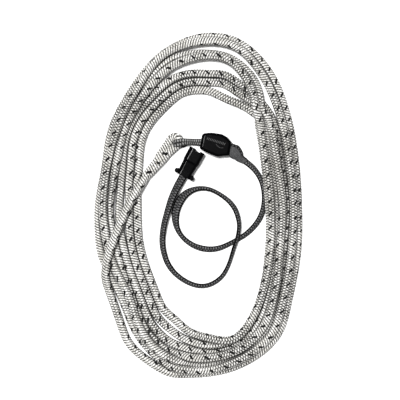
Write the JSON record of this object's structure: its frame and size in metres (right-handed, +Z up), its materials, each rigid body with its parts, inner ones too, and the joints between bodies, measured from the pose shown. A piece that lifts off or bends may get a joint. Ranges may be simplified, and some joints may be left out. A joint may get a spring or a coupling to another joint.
{
  "type": "textile rope grab",
  "caption": "Hollow braided rope grab with a moulded head and a sliding mouth fitting, spliced to a coiled haul line.",
  "frame": {"origin": "middle of the head's flat underside, on the surface the whole tool lies on", "axes": "+Z up from that surface; +X roughly along the head, from the strop towards the sleeve; +Y across, away from the sleeve's loops"},
  "size_m": [0.2742, 0.4568, 0.0298],
  "materials": {
    "line": "off-white double braid with black tracer flecks",
    "stitching": "waxed thread",
    "whipping": "matt heat-shrink",
    "strop": "braided grey cord",
    "case": "satin black moulding",
    "sleeve": "charcoal hollow braid",
    "steel": "plain",
    "liner": "smooth black"
  },
  "bodies": {
    "root": {"line_coil": "line", "line_lead": "line", "eye_splice": "line", "splice_lock_stitch": "stitching", "line_end_whipping": "whipping", "strop": "strop", "head_shell_upper": "case", "head_shell_lower": "case", "head_screws": "steel", "strop_pin": "steel", "pin_washers": "steel", "sleeve_ferrule": "steel", "sleeve_clamp_ring": "steel", "sleeve_flare": "sleeve", "grip_sleeve": "sleeve", "sleeve_tail": "sleeve"},
    "mouth": {"mouth_barrel": "case", "mouth_bush": "liner", "mouth_lip_ring": "case", "mouth_lug_collar": "case", "mouth_crimp_ring": "steel", "collar_pins": "steel"}
  },
  "joints": [
    {"name": "mouth_slide", "type": "slide", "parent": "root", "child": "mouth", "axis": [-0.4833, -0.8755, 0], "range_m": [0, 0.008], "stiffness_N_per_m": 150, "deforming": ["sleeve_tail"]}
  ]
}
